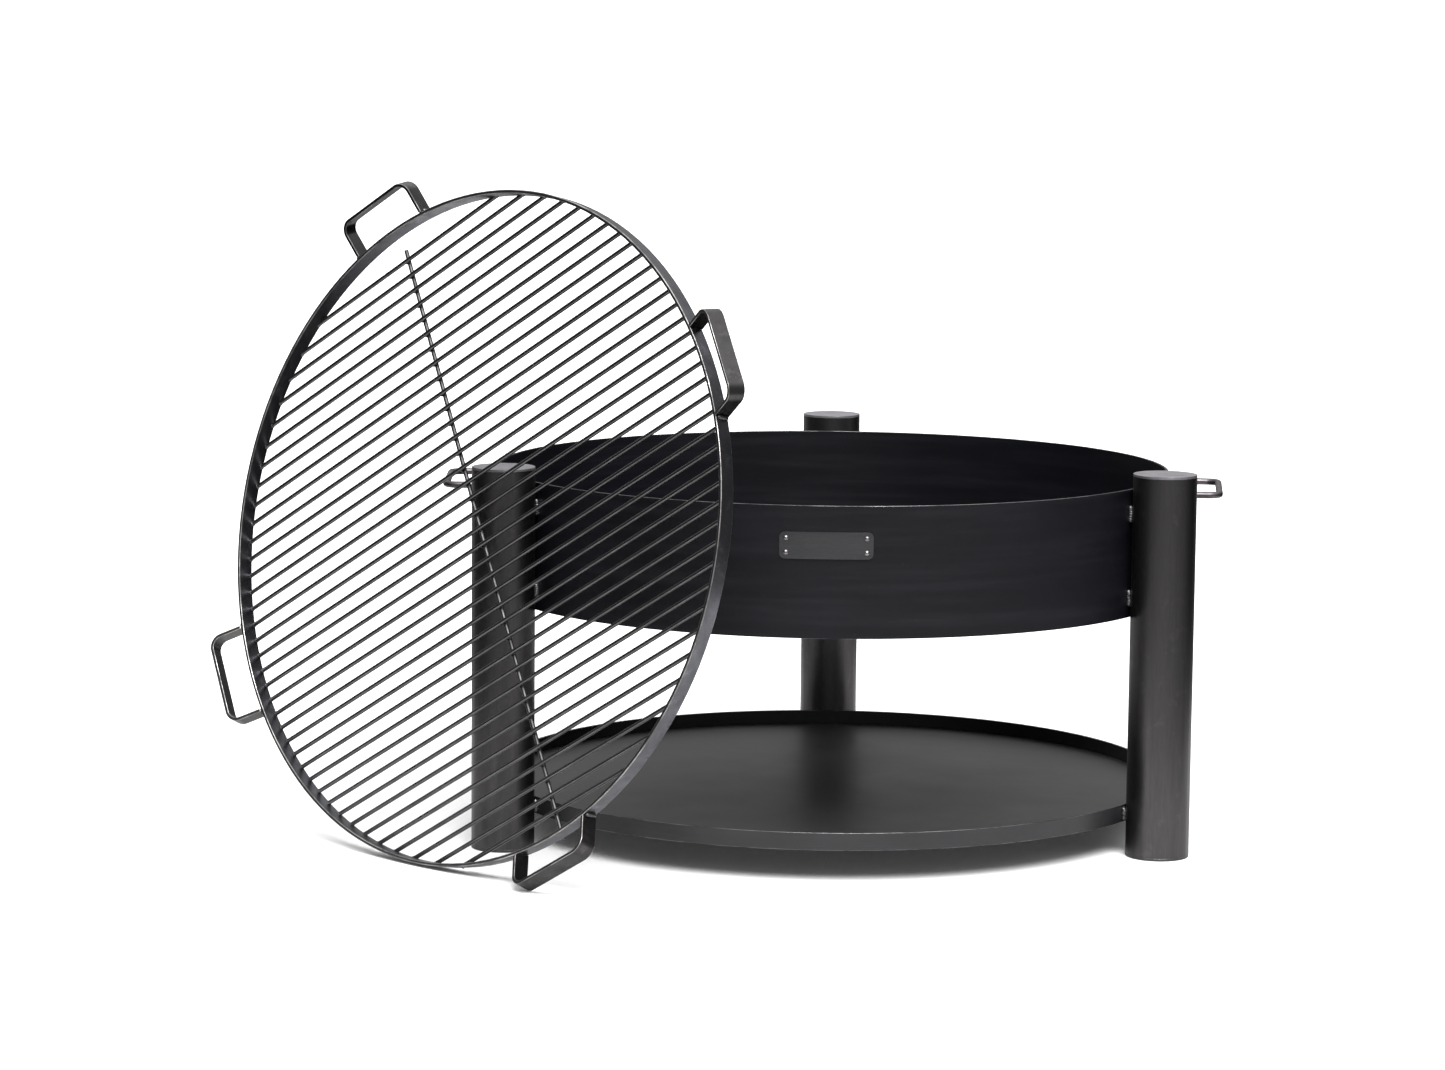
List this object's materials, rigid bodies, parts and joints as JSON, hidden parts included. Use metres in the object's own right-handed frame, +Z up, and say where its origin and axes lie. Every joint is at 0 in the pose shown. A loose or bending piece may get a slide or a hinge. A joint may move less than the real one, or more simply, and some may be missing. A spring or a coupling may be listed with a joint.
{
  "type": "fire pit with grate",
  "caption": "Round open steel fire bowl and round wood shelf between three tubular legs, with a round barred cooking grate with handles leaning on one leg.",
  "frame": {"origin": "on the floor, at the middle of the whole set's footprint with the grate leaning on the front left leg; the pit's own upright axis stands at x 139.2 mm, y 33.8 mm", "axes": "+Z up, front of the pit with the nameplate towards -Y, side handles along X, the leaning grate at the left, -X"},
  "size_m": [1.2049, 1.0128, 0.7622],
  "materials": {
    "black_steel": "satin black",
    "satin_steel": "satin black",
    "grate_steel": "dark mill scale",
    "bar_steel": "dark steel rod",
    "bare_steel": "bright drawn steel",
    "nameplate": "dark satin plate",
    "weld": "weld metal"
  },
  "bodies": {
    "stand": {"bowl_wall": "black_steel", "bowl_floor": "black_steel", "leg_front_left": "black_steel", "leg_front_right": "black_steel", "leg_back": "black_steel", "leg_caps": "satin_steel", "leg_base_plates": "black_steel", "shelf_rim": "black_steel", "shelf_plate": "black_steel", "side_handle_left": "bare_steel", "side_handle_right": "bare_steel", "nameplate": "nameplate", "nameplate_rivets": "bare_steel", "bowl_leg_welds": "weld", "shelf_leg_welds": "weld", "side_handle_welds": "weld"},
    "grate": {"grate_hoop": "grate_steel", "grate_cross_rod": "bar_steel", "grate_handle_top": "grate_steel", "grate_handle_left": "grate_steel", "grate_handle_bottom": "grate_steel", "grate_handle_right": "grate_steel", "grate_handle_welds": "weld", "grate_bar_01": "bar_steel", "grate_bar_02": "bar_steel", "grate_bar_03": "bar_steel", "grate_bar_04": "bar_steel", "grate_bar_05": "bar_steel", "grate_bar_06": "bar_steel", "grate_bar_07": "bar_steel", "grate_bar_08": "bar_steel", "grate_bar_09": "bar_steel", "grate_bar_10": "bar_steel", "grate_bar_11": "bar_steel", "grate_bar_12": "bar_steel", "grate_bar_13": "bar_steel", "grate_bar_14": "bar_steel", "grate_bar_15": "bar_steel", "grate_bar_16": "bar_steel", "grate_bar_17": "bar_steel", "grate_bar_18": "bar_steel", "grate_bar_19": "bar_steel", "grate_bar_20": "bar_steel", "grate_bar_21": "bar_steel", "grate_bar_22": "bar_steel", "grate_bar_23": "bar_steel", "grate_bar_24": "bar_steel", "grate_bar_25": "bar_steel", "grate_bar_26": "bar_steel", "grate_bar_27": "bar_steel", "grate_bar_28": "bar_steel", "grate_bar_29": "bar_steel", "grate_bar_30": "bar_steel", "grate_bar_31": "bar_steel", "grate_bar_32": "bar_steel", "grate_bar_33": "bar_steel", "grate_bar_34": "bar_steel", "grate_bar_35": "bar_steel", "grate_bar_36": "bar_steel", "grate_bar_37": "bar_steel"}
  },
  "joints": [
    {"name": "grate_lift", "type": "slide", "parent": "stand", "child": "grate", "axis": [0, 0, 1], "range_m": [0, 0.46]}
  ]
}
